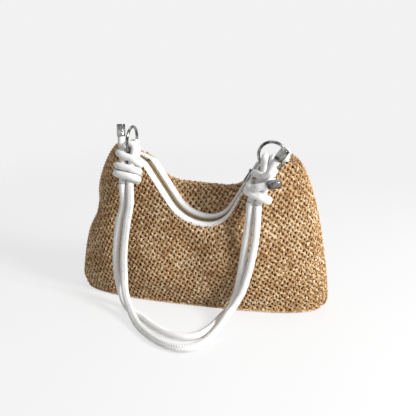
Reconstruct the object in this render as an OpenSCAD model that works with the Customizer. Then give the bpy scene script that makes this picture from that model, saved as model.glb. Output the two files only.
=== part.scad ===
// Hobo bag in open woven straw: two shaped panels on a flat base, a dipping zip between two
// raised corners, and a strap of two rolled leather cords knotted on a ring at each corner.
// Millimetres, +Z up, front is -Y, origin at the middle of the base.

/* [Body] */
// Half of the base's length
base_half_len = 172; // [150:1:190]
// Half of the body's greatest length, just above the base
belly_half_len = 180; // [160:1:200]
// Height at which the body is longest
belly_z = 15; // [8:1:30]
// Distance of each raised corner from the middle
corner_x = 114; // [100:1:130]
// Height of the raised corners
corner_z = 219; // [200:1:240]
// Half of the base's depth
base_half_depth = 39; // [28:1:48]
// How far the front bulges past the base
front_bulge = 15; // [6:1:24]
// How far the back bulges past the base
back_bulge = 13; // [6:1:24]
// How far the left end sags in at half height
left_sag = 9; // [0:1:16]
// Thickness of the woven straw
weave_t = 3; // [2:0.5:5]
// Height of the fold along the top of the back, at the middle, above the zip's back edge
fold_rise = 30; // [15:1:45]
// Depth of that fold behind the zip's back edge
fold_depth = 35; // [20:1:45]

/* [Lining and base] */
// Gap between two sewn layers
layer_gap = 0.4; // [0.2:0.1:1]
// Thickness of the lining cloth
lining_t = 1; // [0.6:0.1:2]
// Thickness of the base board
board_t = 2; // [1:0.5:4]

/* [Zip] */
// Radius of the zip's dip on the left
left_r = 61; // [50:1:74]
// Radius of the zip's dip on the right
right_r = 36; // [30:1:44]
// Height of the lowest point of the zip
zip_low_z = 127; // [110:1:140]
// Distance in front of the middle of that point
zip_low_y = -30; // [-40:1:-20]
// How far right of the middle that point is
zip_shift = 16; // [0:1:24]
// Angle of the round part of the dip to the left of that point
left_arc = 52; // [42:1:58]
// Angle of the round part of the dip to the right of that point
right_arc = 62; // [50:1:68]
// Length of the straight run above it on the left
left_run = 64; // [50:1:72]
// Length of the straight run above it on the right
right_run = 70; // [56:1:76]
// Half width of the zip with its leather edges
band_half = 12; // [10:0.5:16]
// Visible half width of the zip tape
tape_half = 3.5; // [3.2:0.1:6]
// Half of the gap between the two rows of teeth
teeth_gap = 0.75; // [0.6:0.05:1.2]

/* [Strap] */
// Diameter of a rolled leather cord
cord_d = 10; // [8:0.5:12]
// Radius of a ring along the middle of its wire
ring_r = 17.5; // [14:0.5:22]
// Diameter of the ring's wire
wire_d = 4; // [3:0.5:5]
// Wall of a metal end cap
cap_wall = 0.95; // [0.6:0.05:2]
// Length of a metal end cap
cap_len = 16.5; // [12:0.5:24]

/* [Hidden] */

straw = [0.72, 0.56, 0.36];
leather = [0.93, 0.92, 0.90];
khaki = [0.48, 0.41, 0.27];
gunmetal = [0.45, 0.45, 0.44];

// Zip geometry: a round dip in a plane that leans back, then straight runs up to the corners
zip_lean = 18.7;
left_tilt = 45;
right_tilt = 22;
lean_y = sin(zip_lean);
lean_z = cos(zip_lean);
function r_of(side) = side < 0 ? left_r : right_r;
function zip_centre(side) = [0, zip_low_y + r_of(side) * lean_y, zip_low_z + r_of(side) * lean_z];
function arc_of(side) = side < 0 ? left_arc : right_arc;
function run_of(side) = side < 0 ? left_run : right_run;
function arc_len(side) = r_of(side) * arc_of(side) * PI / 180;
function teeth_len(side) = arc_len(side) + run_of(side);
function corner(side) = [corner_x - sign(side) * zip_shift, 0, corner_z];
function corner_run(side) = norm(corner(side) - run_end(side));
function path_len(side) = teeth_len(side) + corner_run(side);
corner_half = 0.6;

base_z = weave_t + layer_gap;
board_z = base_z;
lining_z = board_z + board_t + layer_gap;
stations = 40;
rows = 10;

// Rounded outline in plan: full depth at the middle, closing at both ends
function closing(u) = pow(max(0, 1 - pow(abs(u), 2.8)), 1 / 2.3);
seam_y = layer_gap / 2;
function lerp(a, b, k) = a + (b - a) * k;
function unit(v) = v / norm(v);
function smooth(k) = let (c = min(1, max(0, k))) c * c * (3 - 2 * c);
function bezier(p, t) = pow(1 - t, 3) * p[0] + 3 * pow(1 - t, 2) * t * p[1]
    + 3 * (1 - t) * t * t * p[2] + t * t * t * p[3];
function flip(list) = [for (i = [len(list) - 1 : -1 : 0]) list[i]];

// Half length of the body at a height: rounded shoulders, and a sag at the left end
sag_z = 0.56 * corner_z;
sag_spread = 26;
function half_len(z, side) = let (share = min(1, max(0, (z - belly_z) / (corner_z - belly_z))))
    z < belly_z ? lerp(base_half_len, belly_half_len, sin(90 * z / belly_z))
    : corner_x + (belly_half_len - corner_x) * pow(1 - pow(share, 1.2), side < 0 ? 0.6 : 0.45)
        - (side < 0 ? left_sag * exp(-pow((z - sag_z) / sag_spread, 2)) : 0);

// The zip's line from its lowest point out to one side: place, direction away from the middle,
// direction across it towards the back, and inwards
function run_dir(side) = let (a = arc_of(side)) [cos(a), sin(a) * lean_y, sin(a) * lean_z];
function out_dir(a) = [sin(a), -cos(a) * lean_y, -cos(a) * lean_z];
function run_start(side) = zip_centre(side) + r_of(side) * out_dir(arc_of(side));
function run_end(side) = run_start(side) + run_of(side) * run_dir(side);
function tilt_at(s) = lerp(left_tilt, right_tilt, smooth((s + 0.1) / 0.5));
function across_dir(a, tilt) = cos(tilt) * [0, lean_z, -lean_y] - sin(tilt) * out_dir(a);
function inward_dir(a, tilt) = sin(tilt) * [0, lean_z, -lean_y] + cos(tilt) * out_dir(a);
function line_place(d, side) = let (arc = arc_len(side))
    d <= arc ? zip_centre(side) + r_of(side) * out_dir(d / arc * arc_of(side))
    : d <= teeth_len(side) ? run_start(side) + (d - arc) * run_dir(side)
    : lerp(run_end(side), corner(side), (d - teeth_len(side)) / corner_run(side));
function corner_part(d, side) = let (early = 0.1 * run_of(side))
    smooth((d - teeth_len(side) + early) / (corner_run(side) + early));
function line_angle(d, side) = min(1, d / arc_len(side)) * arc_of(side);
function line_across(d, side, tilt) =
    unit(lerp(across_dir(line_angle(d, side), tilt), [0, 1, 0], corner_part(d, side)));
function line_inward(d, side, tilt) =
    unit(lerp(inward_dir(line_angle(d, side), tilt), [-0.5, 0, -0.86], corner_part(d, side)));
function line_share(d, side) = lerp(1, corner_half / band_half, corner_part(d, side));

// A point of the zip line's cross-section: p across it, q outwards, narrowing at the corners
function zip_point(s, p, q) = let (side = s < 0 ? -1 : 1, d = abs(s) * path_len(side),
        k = line_share(d, side), tilt = tilt_at(s),
        v = line_place(d, side) + p * k * line_across(d, side, tilt) - q * line_inward(d, side, tilt))
    [zip_shift + side * v[0], v[1], v[2]];
function edge_point(s, side, inset) = zip_point(s, side * (band_half + layer_gap), weave_t / 2 - inset);
function share_of_len(s) = let (c = zip_point(s, 0, 0), u = c[0] / half_len(c[2], c[0]))
    lerp(min(1, max(-1, u)), s < 0 ? -1 : 1, pow(abs(s), 12));

// Walls as curves in depth and height, from the base to the zip
function placed(u, inset, yz, top, k) = let (x = u * (half_len(yz[1], u) - inset),
        shift = top[0] - u * (half_len(top[2], u) - inset))
    [x + pow(k, 4) * shift, yz[0], yz[1]];
function front_wall(s, inset, low_z) = let (
        u = share_of_len(s), c = closing(u), top = edge_point(s, -1, inset),
        p = [[-(base_half_depth - inset) * c - seam_y, low_z],
            [-(base_half_depth + front_bulge - inset) * c - seam_y, 0.33 * top[2]],
            [top[1] - (8 + 10 * abs(s)) * c, 0.72 * top[2]],
            [top[1], top[2]]])
    [for (i = [0 : rows]) placed(u, inset, bezier(p, i / rows), top, i / rows)];
function fold_point(s, inset) = let (
        top = edge_point(s, 1, 0), shift = edge_point(s, 1, inset) - top, back = 1 - s * s,
        rise = pow(max(0, 1 - pow(s / 0.51, 2)), 1.25), k = smooth(3 * back))
    [top[1] + fold_depth * back * (0.45 + 0.55 * rise), top[2] + fold_rise * rise + 1.5 * back]
        + lerp([shift[1], shift[2]], [-0.75 * inset, -0.85 * inset], k);
function back_wall(s, inset, low_z) = let (
        u = share_of_len(s), c = closing(u), top = edge_point(s, 1, inset),
        fold = fold_point(s, inset), k = 1 - s * s,
        lift = [fold[0] + (14 + 7 * k) * c, 0.8 * fold[1]],
        wall = [[(base_half_depth - inset) * c + seam_y, low_z],
            [(base_half_depth + back_bulge - inset) * c + seam_y, 0.35 * fold[1]], lift, fold],
        flap = [fold, fold + 0.3 * k * (fold - lift),
            lerp([top[1], top[2]], fold, 0.35) + [0, 2 * k], [top[1], top[2]]])
    concat([for (i = [0 : rows]) placed(u, inset, bezier(wall, i / rows), top, 0)],
        [for (i = [1 : rows]) placed(u, inset, bezier(flap, i / rows), top, i / rows)]);

// Solid through rings of equal length; the first half of a ring faces the second half
module loft(rings) {
    n = len(rings[0]);
    last = (len(rings) - 1) * n;
    half = n / 2;
    sides = [for (r = [0 : len(rings) - 2], i = [0 : n - 1])
        let (a = r * n + i, b = r * n + (i + 1) % n)
        each [[a, b, b + n], [a, b + n, a + n]]];
    ends = [for (i = [0 : half - 2]) let (j = n - 1 - i)
        each [[i, j, j - 1], [i, j - 1, i + 1],
            [last + i, last + i + 1, last + j - 1], [last + i, last + j - 1, last + j]]];
    polyhedron([for (ring = rings) each ring], concat(sides, ends));
}

// Stations along the body, closer together towards the ends
function spread(n, reach) = [for (i = [0 : n]) reach * sin(180 * i / n - 90)];
function even(n, s0, s1) = [for (i = [0 : n]) lerp(s0, s1, i / n)];

module zip_strip(p0, p1, q0, q1, left, right) {
    loft([for (s = even(60, -left, right))
        [zip_point(s, p0, q0), zip_point(s, p1, q0), zip_point(s, p1, q1), zip_point(s, p0, q1)]]);
}

module front_panel() {
    color(straw) loft([for (s = spread(stations, 1))
        concat(front_wall(s, 0, base_z), flip(front_wall(s, weave_t, base_z)))]);
}

module back_panel() {
    color(straw) loft([for (s = spread(stations, 1))
        concat(flip(back_wall(s, 0, base_z)), back_wall(s, weave_t, base_z))]);
}

function base_outline(inset) = [for (side = [-1, 1], t = spread(30, 1))
    [-side * t * (base_half_len - inset), side * (base_half_depth - inset) * closing(t)]];

module base_panel() {
    color(straw) linear_extrude(weave_t) polygon(base_outline(0));
}

module base_board() {
    color("tan") translate([0, 0, board_z]) linear_extrude(board_t)
        polygon(base_outline(weave_t + 3));
}

// The cloth sack: a front, a back and a floor inside the woven panels
lining_in = weave_t + layer_gap;
lining_out = lining_in + lining_t;
module lining() {
    color("wheat") {
        loft([for (s = spread(stations, 1)) if (abs(s) < 0.96) concat(
            front_wall(s, lining_in, lining_z), flip(front_wall(s, lining_out, lining_z)))]);
        loft([for (s = spread(stations, 1)) if (abs(s) < 0.96) concat(
            flip(back_wall(s, lining_in, lining_z)), back_wall(s, lining_out, lining_z))]);
        translate([0, 0, lining_z]) linear_extrude(lining_t) polygon(base_outline(lining_out + 2.5));
    }
}

cover_reach = 0.985;
module cover_strip(p0, p1, q0, q1) { zip_strip(p0, p1, q0, q1, cover_reach, cover_reach); }
function teeth_share(side) = teeth_len(side) / path_len(side);
module teeth_strip(p0, p1) { zip_strip(p0, p1, 0.6, 1.5, teeth_share(-1), teeth_share(1)); }
module zip_tape_front() { color(khaki) cover_strip(-teeth_gap, -band_half + 1, -0.4, 0.4); }
module zip_tape_back() { color(khaki) cover_strip(band_half - 1, teeth_gap, -0.4, 0.4); }
module zip_teeth_front() { color("#5b4f35") teeth_strip(-teeth_gap, -teeth_gap - 1.5); }
module zip_teeth_back() { color("#5b4f35") teeth_strip(teeth_gap + 1.5, teeth_gap); }
module zip_edge_front() { color(leather) cover_strip(-tape_half, -band_half, 0.6, 2); }
module zip_edge_back() { color(leather) cover_strip(band_half, tape_half, 0.6, 2); }

// Stop that closes off the teeth at each end of the zip
module zip_stop(side) {
    stop_len = 3.5 / path_len(side);
    from = teeth_share(side) + 0.5 / path_len(side);
    color(gunmetal) loft([for (s = side < 0 ? [-from - stop_len, -from] : [from, from + stop_len])
        [zip_point(s, 3, 0.6), zip_point(s, -3, 0.6), zip_point(s, -3, 2.2), zip_point(s, 3, 2.2)]]);
}
module zip_stop_left() { zip_stop(-1); }
module zip_stop_right() { zip_stop(1); }

// Places children on the zip's right straight run: X up along it, Y across to the back, Z outwards
module on_run(distance) {
    translate(zip_centre(1) + [zip_shift, 0, 0]) rotate([-zip_lean, 0, 0]) rotate([0, -right_arc, 0])
        translate([distance, 0, -right_r]) rotate([right_tilt, 0, 0]) children();
}

slider_at = 56;
slider_len = 10;
slider_half = 3.6;
pin_r = 0.8;
pin_z = 5.4;
pull_len = 18;
pull_t = 1.5;
module block(x0, x1, y0, y1, z0, z1) {
    translate([x0, y0, z0]) cube([x1 - x0, y1 - y0, z1 - z0]);
}
module zip_slider() {
    color(gunmetal) on_run(slider_at) {
        block(-slider_len / 2, slider_len / 2, -slider_half, slider_half, 2.3, 3.4);
        block(-slider_len / 2, slider_len / 2, -slider_half, slider_half, -1.9, -0.8);
        block(-1.5, 2.5, -teeth_gap + 0.2, teeth_gap - 0.2, -1, 2.5);
        for (side = [-1, 1])
            block(-1.8, 1.8, side > 0 ? 1.9 : -3.1, side > 0 ? 3.1 : -1.9, 3.2, pin_z + 1.4);
        translate([0, 0, pin_z]) rotate([90, 0, 0]) cylinder(h = 6, r = pin_r, center = true, $fn = 24);
    }
}
module zip_pull() {
    color(gunmetal) on_run(slider_at) translate([0, 0, pin_z]) rotate([90, 0, 0]) difference() {
        union() {
            cylinder(h = 3.4, r = 1.7, center = true, $fn = 32);
            translate([-pull_len + 3, -pull_t / 2, -1.6]) cube([pull_len - 4, pull_t, 3.2]);
            translate([-pull_len, -pull_t / 2, -2.4]) cube([7, pull_t, 4.8]);
        }
        cylinder(h = 8, r = pin_r + 0.06, center = true, $fn = 24);
    }
}

// Ring places, and the line through both ring centres on which the strap swings
function at_left(v) = [v[0] - corner_x, v[1], corner_z + v[2]];
function at_right(v) = [corner_x + v[0], v[1], corner_z + v[2]];
left_ring_at = at_left([26, -25, 12]);
right_ring_at = at_right([-13, -35, 5]);
swing = unit(right_ring_at - left_ring_at);
swing_yaw = atan2(swing[1], swing[0]);
swing_dip = asin(swing[2]);
wire_r = wire_d / 2;
cord_r = cord_d / 2;

module ring_solid() {
    rotate_extrude($fn = 96) translate([ring_r, 0]) circle(r = wire_r, $fn = 32);
}
module along_swing(at) { translate(at) rotate([0, 0, swing_yaw]) rotate([0, 90 - swing_dip, 0]) children(); }
module left_ring() { color(gunmetal) along_swing(left_ring_at) ring_solid(); }
module right_ring() {
    color(gunmetal) translate(right_ring_at) rotate([0, 0, swing_yaw]) rotate([90, 0, 0]) ring_solid();
}

// Strap ends: each hangs from its ring, leaning forward and sideways
strap_lean = 21;
left_side_lean = 0;
right_side_lean = -16;
loop_offset = -3;
loop_rise = 7.7;
loop_r = wire_r + cord_r + 0.4;
pair_half = cord_r + 0.35;
left_upper_at = 37;
left_lower_at = 47;
left_end_at = 58;
right_upper_at = 13.5;
right_lower_at = 38;
right_end_at = 48;
wrap_r = 4.4;
knot_r = cord_r - 1;
knot_half = knot_r + 0.15;

function tip_z(v, a) = [v[0] * cos(a) - v[1] * sin(a), v[0] * sin(a) + v[1] * cos(a), v[2]];
function tip_x(v, a) = [v[0], v[1] * cos(a) - v[2] * sin(a), v[1] * sin(a) + v[2] * cos(a)];
function tip_y(v, a) = [v[0] * cos(a) + v[2] * sin(a), v[1], v[2] * cos(a) - v[0] * sin(a)];
right_hang = right_ring_at
    + tip_z([loop_offset, 0, -sqrt(ring_r * ring_r - loop_offset * loop_offset)], swing_yaw);
function hung(at, side_lean, v) = at
    + tip_z(tip_y(tip_x(tip_y(v, -side_lean), -strap_lean), -swing_dip), swing_yaw);
module hang(at, side_lean) {
    translate(at) rotate([0, -swing_dip, swing_yaw]) rotate([-strap_lean, 0, 0])
        rotate([0, -side_lean, 0]) children();
}

module rod(a, b, r) {
    v = b - a;
    translate(a) rotate([0, 0, atan2(v[1], v[0])]) rotate([0, acos(v[2] / norm(v)), 0])
        cylinder(h = norm(v), r = r, $fn = 32);
}

// Half loop of cord over the ring's wire, with legs down to the knot
module cord_loop(rise, leg_end) {
    translate([0, 0, rise]) rotate([0, 90, 0]) rotate([0, 0, 90]) rotate_extrude(angle = 180, $fn = 64)
        translate([loop_r, 0]) circle(r = cord_r, $fn = 32);
    for (side = [-1, 1]) translate([0, side * loop_r, leg_end])
        cylinder(h = rise - leg_end, r = cord_r, $fn = 32);
}
function strand_end(at, side_lean, side, depth) = hung(at, side_lean, [side * pair_half, 0, -depth]);

module standing_pair(at, side_lean, from, to) {
    hang(at, side_lean) for (side = [-1, 1])
        translate([side * knot_half, 0, -to]) cylinder(h = to - from, r = knot_r, $fn = 32);
}
module left_loops() {
    color(leather) {
        hang(left_ring_at, left_side_lean) translate([0, 0, -ring_r]) rotate([0, 0, 90])
            for (side = [-1, 1]) translate([side * pair_half, 0, 0])
                cord_loop(4, ring_r - left_upper_at + cord_r + 0.6);
        standing_pair(left_ring_at, left_side_lean, left_upper_at - wrap_r, left_end_at);
    }
}
module right_loops() {
    color(leather) {
        translate(right_hang) rotate([0, 0, swing_yaw])
            for (side = [-1, 1]) translate([side * pair_half, 0, 0]) cord_loop(loop_rise, -right_upper_at + cord_r + 6);
        standing_pair(right_hang, right_side_lean, right_upper_at - 1, right_end_at);
    }
}

// One turn of cord round the standing pair
module wrap() {
    turn_r = knot_r + wrap_r + 0.2;
    for (side = [-1, 1]) {
        translate([side * knot_half, 0, 0]) rotate([0, 0, side > 0 ? -90 : 90])
            rotate_extrude(angle = 180, $fn = 64) translate([turn_r, 0]) circle(r = wrap_r, $fn = 32);
        translate([-knot_half, side * turn_r, 0]) rotate([0, 90, 0])
            cylinder(h = 2 * knot_half, r = wrap_r, $fn = 32);
    }
}
module wrap_on(at, side_lean, depth) {
    color(leather) hang(at, side_lean) translate([0, 0, -depth]) wrap();
}
module left_knot_upper() { wrap_on(left_ring_at, left_side_lean, left_upper_at); }
module left_knot_lower() { wrap_on(left_ring_at, left_side_lean, left_lower_at); }
module right_knot_upper() { wrap_on(right_hang, right_side_lean, right_upper_at); }
module right_knot_lower() { wrap_on(right_hang, right_side_lean, right_lower_at); }

// Cord ends past the knots, each in a metal cap
tail_r = cord_r - 0.1;
cap_grip = 8;
cap_bore = tail_r + 0.05;
cap_r = cap_bore + cap_wall;
left_tail_points = [at_left([8, -17, 2.5]), at_left([7, -14, 13])];
right_upper_points = [at_right([-13, -59, -11]), at_right([-9, -60, -1]), at_right([-3, -60, 7])];
right_lower_points = [at_right([-20.5, -59, -29]), at_right([-14, -59.5, -27])];
function tip_of(points) = points[len(points) - 1];
function end_dir(points) = unit(tip_of(points) - points[len(points) - 2]);
module tail(points) {
    last = len(points) - 2;
    color(leather) for (i = [0 : last]) {
        rod(points[i], points[i + 1] + (i == last ? cap_grip : 0) * end_dir(points), tail_r);
        if (i > 0) translate(points[i]) sphere(r = tail_r, $fn = 32);
    }
}
module cap(points) {
    v = end_dir(points);
    color(gunmetal) translate(tip_of(points)) rotate([0, 0, atan2(v[1], v[0])]) rotate([0, acos(v[2]), 0])
        rotate_extrude($fn = 48) polygon([[cap_bore, 0], [cap_r, 0], [cap_r, cap_len - 1],
            [cap_r - 1, cap_len], [0, cap_len], [0, cap_grip + 0.3], [cap_bore, cap_grip + 0.3]]);
}
module left_tail() { tail(left_tail_points); }
module right_tail_upper() { tail(right_upper_points); }
module right_tail_lower() { tail(right_lower_points); }
module left_cap() { cap(left_tail_points); }
module right_cap_upper() { cap(right_upper_points); }
module right_cap_lower() { cap(right_lower_points); }

// Leather tabs that hold the rings on the corners
tab_w = 13;
tab_t = 2.4;
sleeve_r = wire_r + 3;
module sleeve(bore) {
    difference() {
        cylinder(h = tab_w, r = sleeve_r, center = true, $fn = 48);
        cylinder(h = tab_w + 2, r = bore, center = true, $fn = 48);
    }
}
module slab(a, b, w, t) {
    v = b - a;
    translate(a) rotate([0, 0, atan2(v[1], v[0])]) rotate([0, -asin(v[2] / norm(v)), 0])
        translate([0, -w / 2, -t / 2]) cube([norm(v), w, t]);
}
module left_tab() {
    color(leather) {
        along_swing(left_ring_at) rotate([0, 0, -30]) translate([0, ring_r, 0])
            rotate([0, 90, 0]) sleeve(wire_r + 1.6);
        slab(at_left([21, -10, 2.5]), at_left([9, -2, 0.5]), tab_w, tab_t);
    }
}
stem_w = 7;
module right_tab_loop() {
    color(leather) {
        translate(right_ring_at) rotate([0, 0, swing_yaw]) translate([ring_r, 0, 0]) sleeve(wire_r + 1.6);
        slab(at_right([5.5, -31.2, 4.5]), at_right([6.5, -24.3, 4.6]), stem_w, tab_t);
    }
}
module right_tab() {
    color(leather) slab(at_right([7.2, -22.2, 4.5]), at_right([1.5, -3, 2]), stem_w, tab_t);
}

// Free lengths of the two cords, from the left knot down, across the floor in front and up again
lying = cord_r + 0.2;
front_route = [[-84, -54, 151], [-88, -57, 127], [-92, -58, 101], [-94, -60, 76], [-93.5, -63, 53],
    [-91, -70, 39.5], [-87.5, -77, 28], [-78.5, -88, 16], [-68, -102, 8.5], [-53.5, -119, lying],
    [-34.5, -136.5, lying], [-17.5, -148, lying], [-3, -154, lying], [10.5, -156, lying], [22.5, -152, lying],
    [33, -142, lying], [41, -122, lying + 0.2], [48.5, -99, 9], [54, -84, 16], [60, -72, 22.5], [65.5, -66, 32],
    [71.5, -62, 45], [78.5, -59, 71], [82.5, -58, 93], [85.5, -57, 114], [87, -55, 140]];
back_route = [[-95, -50, 149], [-100.5, -53, 125], [-105, -54, 98], [-107, -55, 73], [-106, -57, 48],
    [-103.5, -58, 32], [-99.5, -60, 17], [-91.5, -66, lying], [-76.5, -82, lying], [-58.5, -94.5, lying],
    [-42, -109, lying], [-25, -120.5, lying], [-10.5, -127, lying], [3.5, -130, lying], [16, -127.5, lying],
    [27, -119, lying], [36, -101.5, lying], [43.5, -76, 6], [49, -61, 8.5], [53.5, -53, 13],
    [57.5, -51.5, 24], [62.5, -52, 38.5], [67.5, -54, 68.5], [70.5, -54, 91], [73, -54, 112], [76, -52, 138]];
// A point inside the strap's curve, towards which each ring of the tube faces
route_middle = [-10, -60, 110];
function route(points, left_side, right_side) = concat(
    [strand_end(left_ring_at, left_side_lean, left_side, left_end_at + 1)], points,
    [strand_end(right_hang, right_side_lean, right_side, right_end_at + 1)]);
function tube_ring(points, i) = let (
        t = unit(points[min(i + 1, len(points) - 1)] - points[max(i - 1, 0)]),
        n = unit(cross(t, cross(route_middle - points[i], t))), b = cross(t, n))
    [for (k = [0 : 9]) points[i] + cord_r * (cos(36 * k + 18) * n + sin(36 * k + 18) * b)];
module tube(points) { loft([for (i = [0 : len(points) - 1]) flip(tube_ring(points, i))]); }
module front_cord() { color(leather) tube(route(front_route, 1, 1)); }
module back_cord() { color(leather) tube(route(back_route, -1, -1)); }

front_panel();
back_panel();
base_panel();
lining();
base_board();
zip_tape_front();
zip_tape_back();
zip_teeth_front();
zip_teeth_back();
zip_edge_front();
zip_edge_back();
zip_stop_left();
zip_stop_right();
zip_slider();
zip_pull();
left_tab();
right_tab();
right_tab_loop();
left_ring();
right_ring();
left_loops();
right_loops();
left_knot_upper();
left_knot_lower();
right_knot_upper();
right_knot_lower();
left_tail();
right_tail_upper();
right_tail_lower();
left_cap();
right_cap_upper();
right_cap_lower();
front_cord();
back_cord();
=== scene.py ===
import math
import bpy
import numpy as np
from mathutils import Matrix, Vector
from mathutils.bvhtree import BVHTree


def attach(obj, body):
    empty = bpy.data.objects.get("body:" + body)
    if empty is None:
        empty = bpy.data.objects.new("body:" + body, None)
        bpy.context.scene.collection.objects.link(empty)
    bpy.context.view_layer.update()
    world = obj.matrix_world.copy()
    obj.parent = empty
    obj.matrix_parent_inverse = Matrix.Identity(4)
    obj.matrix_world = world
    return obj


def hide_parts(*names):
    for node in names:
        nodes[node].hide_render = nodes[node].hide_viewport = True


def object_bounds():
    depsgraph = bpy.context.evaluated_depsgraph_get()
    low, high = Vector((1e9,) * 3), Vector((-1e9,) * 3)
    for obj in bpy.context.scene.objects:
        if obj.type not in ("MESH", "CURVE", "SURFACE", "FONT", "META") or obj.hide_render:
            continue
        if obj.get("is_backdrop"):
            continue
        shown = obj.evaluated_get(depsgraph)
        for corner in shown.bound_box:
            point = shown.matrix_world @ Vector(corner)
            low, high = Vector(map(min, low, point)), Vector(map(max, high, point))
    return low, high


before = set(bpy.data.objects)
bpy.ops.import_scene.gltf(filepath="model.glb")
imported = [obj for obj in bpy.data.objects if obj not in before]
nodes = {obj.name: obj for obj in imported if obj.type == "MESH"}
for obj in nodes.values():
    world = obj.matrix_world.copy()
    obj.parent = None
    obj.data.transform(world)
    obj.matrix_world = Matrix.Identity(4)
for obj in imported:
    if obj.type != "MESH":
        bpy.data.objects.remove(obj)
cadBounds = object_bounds()
scene = bpy.context.scene
rng = np.random.default_rng(11)
mm = 0.001


# Camera, floor and light
camera = dict(place=(0.2002, -0.824, 0.4415), aim=(0.010, 0.0, 0.1337), lens=56.25)
lamps = dict(
    key=dict(place=(1.30, -0.50, 0.90), size=0.40, power=34.0),
    fill=dict(place=(-0.9, -1.1, 0.75), size=1.2, power=1.3),
    top=dict(place=(0.1, 0.25, 1.35), size=1.1, power=5.0),
)
lampAim = (0, 0, 0.1)
# What the lamps light is dim; what is seen, mirrored or looked through is pale
room = dict(glow=0.20, seen=0.888, floorColour=0.80, floorShade=0.20, floorGlow=0.705,
            floorFull=0.40, floorEnd=1.0, floorSize=4, floorDrop=0.4 * mm)
seenRays = ("Is Camera Ray", "Is Glossy Ray", "Is Transmission Ray")


class Wire:
    # One output socket, with the arithmetic and the MAXIMUM that the finishes use
    def __init__(self, finish, socket):
        self.finish = finish
        self.socket = socket

    def math(self, operation, first, second):
        return self.finish.node("Math", dict(operation=operation), {0: first, 1: second})

    def __add__(self, other):
        return self.math("ADD", self, other)

    def __radd__(self, other):
        return self.math("ADD", other, self)

    def __sub__(self, other):
        return self.math("SUBTRACT", self, other)

    def __rsub__(self, other):
        return self.math("SUBTRACT", other, self)

    def __mul__(self, other):
        return self.math("MULTIPLY", self, other)

    def __rmul__(self, other):
        return self.math("MULTIPLY", other, self)


class Finish:
    # A material that is built node by node
    def __init__(self, name):
        self.material = bpy.data.materials.new(name)
        self.material.use_nodes = True
        self.tree = self.material.node_tree
        self.tree.nodes.clear()

    def node(self, kind, settings=None, sockets=None, out=0):
        made = self.tree.nodes.new("ShaderNode" + kind)
        for key, value in (settings or {}).items():
            if key == "stops":
                ramp = made.color_ramp
                while len(ramp.elements) < len(value):
                    ramp.elements.new(0.5)
                for element, (place, colour) in zip(ramp.elements, value):
                    element.position = place
                    element.color = (*colour, 1)
            else:
                setattr(made, key, value)
        for key, value in (sockets or {}).items():
            if isinstance(value, Wire):
                self.tree.links.new(value.socket, made.inputs[key])
            else:
                made.inputs[key].default_value = value
        return Wire(self, made.outputs[out]) if len(made.outputs) else None

    def place(self):
        return self.node("TexCoord", out="Object")

    def noise(self, scale, detail=3.0, rough=0.55):
        sockets = {"Vector": self.place(), "Scale": scale, "Detail": detail, "Roughness": rough}
        return self.node("TexNoise", None, sockets)

    def ribs(self, direction, scale, **extra):
        sockets = {"Vector": self.place(), "Scale": scale, **extra}
        return self.node("TexWave", dict(wave_type="BANDS", bands_direction=direction), sockets)

    def grains(self, scale):
        return self.node("TexVoronoi", None, {"Vector": self.place(), "Scale": scale}, "Distance")

    def ramp(self, factor, stops):
        return self.node("ValToRGB", dict(stops=stops), {"Fac": factor})

    def mix(self, factor, first, second):
        return self.node("Mix", dict(data_type="RGBA"), {0: factor, 6: first, 7: second}, 2)

    def bump(self, height, strength, distance):
        return self.node("Bump", None, {"Height": height, "Strength": strength, "Distance": distance})

    def surface(self, **sockets):
        named = {key.replace("_", " "): value for key, value in sockets.items()}
        shader = self.node("BsdfPrincipled", None, named)
        self.node("OutputMaterial", None, {"Surface": shader})
        return self.material


def look(thing, target):
    aim = Vector(target) - thing.location
    thing.rotation_euler = aim.to_track_quat("-Z", "Y").to_euler()


def setCamera():
    print("camera")
    scene.view_settings.view_transform = "Standard"
    data = bpy.data.cameras.new("viewer")
    data.lens = camera["lens"]
    data.sensor_width = 36
    data.clip_end = 20
    viewer = bpy.data.objects.new("viewer", data)
    scene.collection.objects.link(viewer)
    viewer.location = camera["place"]
    look(viewer, camera["aim"])
    scene.camera = viewer


def setLamps():
    print("lamps")
    for name, lamp in lamps.items():
        data = bpy.data.lights.new(name, "AREA")
        data.size = lamp["size"]
        data.energy = lamp["power"]
        light = bpy.data.objects.new(name, data)
        scene.collection.objects.link(light)
        light.location = lamp["place"]
        look(light, lampAim)


def setWorld():
    print("world")
    world = bpy.data.worlds.new("room")
    scene.world = world
    world.use_nodes = True
    tree = world.node_tree
    tree.nodes.clear()
    path = tree.nodes.new("ShaderNodeLightPath")
    seen = path.outputs[seenRays[0]]
    for ray in seenRays[1:]:
        largest = tree.nodes.new("ShaderNodeMath")
        largest.operation = "MAXIMUM"
        tree.links.new(seen, largest.inputs[0])
        tree.links.new(path.outputs[ray], largest.inputs[1])
        seen = largest.outputs[0]
    strength = tree.nodes.new("ShaderNodeMapRange")
    strength.inputs["To Min"].default_value = room["glow"]
    strength.inputs["To Max"].default_value = room["seen"]
    tree.links.new(seen, strength.inputs["Value"])
    glow = tree.nodes.new("ShaderNodeBackground")
    glow.inputs["Color"].default_value = (1, 1, 1, 1)
    tree.links.new(strength.outputs[0], glow.inputs["Strength"])
    end = tree.nodes.new("ShaderNodeOutputWorld")
    tree.links.new(glow.outputs[0], end.inputs["Surface"])


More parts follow.
